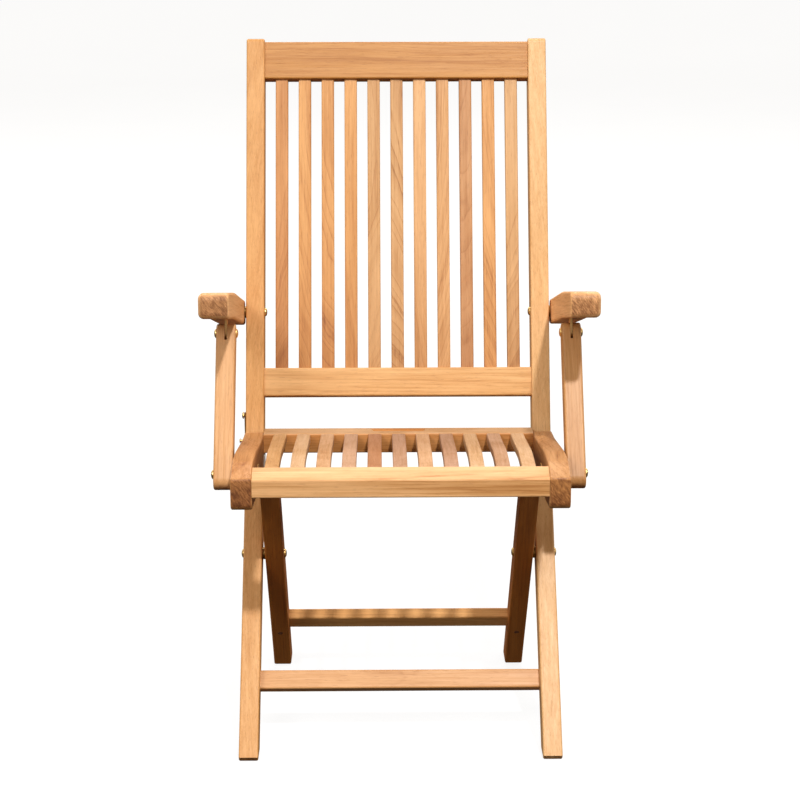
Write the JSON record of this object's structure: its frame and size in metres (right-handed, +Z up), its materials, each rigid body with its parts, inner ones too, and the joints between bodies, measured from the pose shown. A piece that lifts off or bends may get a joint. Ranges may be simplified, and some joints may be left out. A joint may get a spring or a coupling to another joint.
{
  "type": "folding armchair",
  "caption": "Folding slatted wooden armchair: bent back stiles, crossed legs, flat arms on slanted posts, slatted back and curved slatted seat; brass pivots.",
  "frame": {"origin": "centre of the chair's overall footprint on the floor", "axes": "+Z up, the sitter faces -Y, +X is the side at the right of the picture"},
  "size_m": [0.566, 0.5829, 0.9872],
  "materials": {
    "teak_frame": "oiled satin, straight grain along each bar",
    "teak_slats": "oiled satin, straight grain along each slat, tone varies from slat to slat",
    "teak_plugs": "end grain, darker",
    "brass": "satin, slightly dulled"
  },
  "bodies": {
    "frame": {"front_leg_stile_left": "teak_frame", "front_leg_stile_right": "teak_frame", "top_back_rail": "teak_frame", "lower_back_rail": "teak_frame", "front_leg_stretcher": "teak_frame", "back_slats": "teak_slats", "cross_pivot_bolts": "brass", "cross_pivot_washers": "brass", "arm_pivot_bolts": "brass", "arm_pivot_spacers": "brass", "seat_hinge_plate_left": "brass", "seat_hinge_plate_right": "brass", "hinge_plate_screws": "brass", "seat_hinge_pins": "brass", "latch_screw": "brass"},
    "rear_legs": {"rear_leg_left": "teak_frame", "rear_leg_right": "teak_frame", "rear_leg_stretcher": "teak_frame", "rear_leg_plugs": "teak_plugs", "seat_rest_pins": "brass"},
    "seat": {"seat_rail_left": "teak_frame", "seat_rail_right": "teak_frame", "seat_front_rail": "teak_frame", "seat_rear_rail": "teak_frame", "seat_slats": "teak_slats", "notch_plate_left": "brass", "notch_plate_right": "brass", "notch_plate_screws": "brass", "heel_plate_left": "brass", "heel_plate_right": "brass", "heel_plate_screws": "brass", "post_foot_screws": "brass", "post_foot_washers": "brass", "latch_stud": "brass"},
    "left_arm": {"arm_left": "teak_frame", "arm_tongue_left": "brass"},
    "right_arm": {"arm_right": "teak_frame", "arm_tongue_right": "brass"},
    "left_post": {"arm_post_left": "teak_frame", "post_head_bolt_left": "brass"},
    "right_post": {"arm_post_right": "teak_frame", "post_head_bolt_right": "brass"},
    "latch": {"latch_hook": "brass"}
  },
  "joints": [
    {"name": "seat_fold", "type": "hinge", "parent": "frame", "child": "seat", "pos_m": [0, 0.0173, 0.399], "axis": [-1, 0, 0], "range_deg": [0, 101]},
    {"name": "rear_leg_fold", "type": "hinge", "parent": "frame", "child": "rear_legs", "pos_m": [0, -0.0425, 0.2464], "axis": [-1, 0, 0], "range_deg": [0, 48.48]},
    {"name": "left_arm_lift", "type": "hinge", "parent": "frame", "child": "left_arm", "pos_m": [0, 0.1284, 0.5806], "axis": [-1, 0, 0], "range_deg": [0, 101]},
    {"name": "right_arm_lift", "type": "hinge", "parent": "frame", "child": "right_arm", "pos_m": [0, 0.1284, 0.5806], "axis": [-1, 0, 0], "range_deg": [0, 101]},
    {"name": "left_post_pivot", "type": "hinge", "parent": "left_arm", "child": "left_post", "pos_m": [0, -0.044, 0.5854], "axis": [1, 0, 0], "range_deg": [0, 101]},
    {"name": "right_post_pivot", "type": "hinge", "parent": "right_arm", "child": "right_post", "pos_m": [0, -0.044, 0.5854], "axis": [1, 0, 0], "range_deg": [0, 101]},
    {"name": "latch_swing", "type": "hinge", "parent": "frame", "child": "latch", "pos_m": [-0.2351, 0.0723, 0.4305], "axis": [-1, 0, 0], "range_deg": [-100, 100]}
  ],
  "couplings": [
    {"joint": "rear_leg_fold", "follows": "seat_fold", "ratio": 0.48},
    {"joint": "left_arm_lift", "follows": "seat_fold", "ratio": 1},
    {"joint": "right_arm_lift", "follows": "seat_fold", "ratio": 1},
    {"joint": "left_post_pivot", "follows": "seat_fold", "ratio": 1},
    {"joint": "right_post_pivot", "follows": "seat_fold", "ratio": 1}
  ]
}
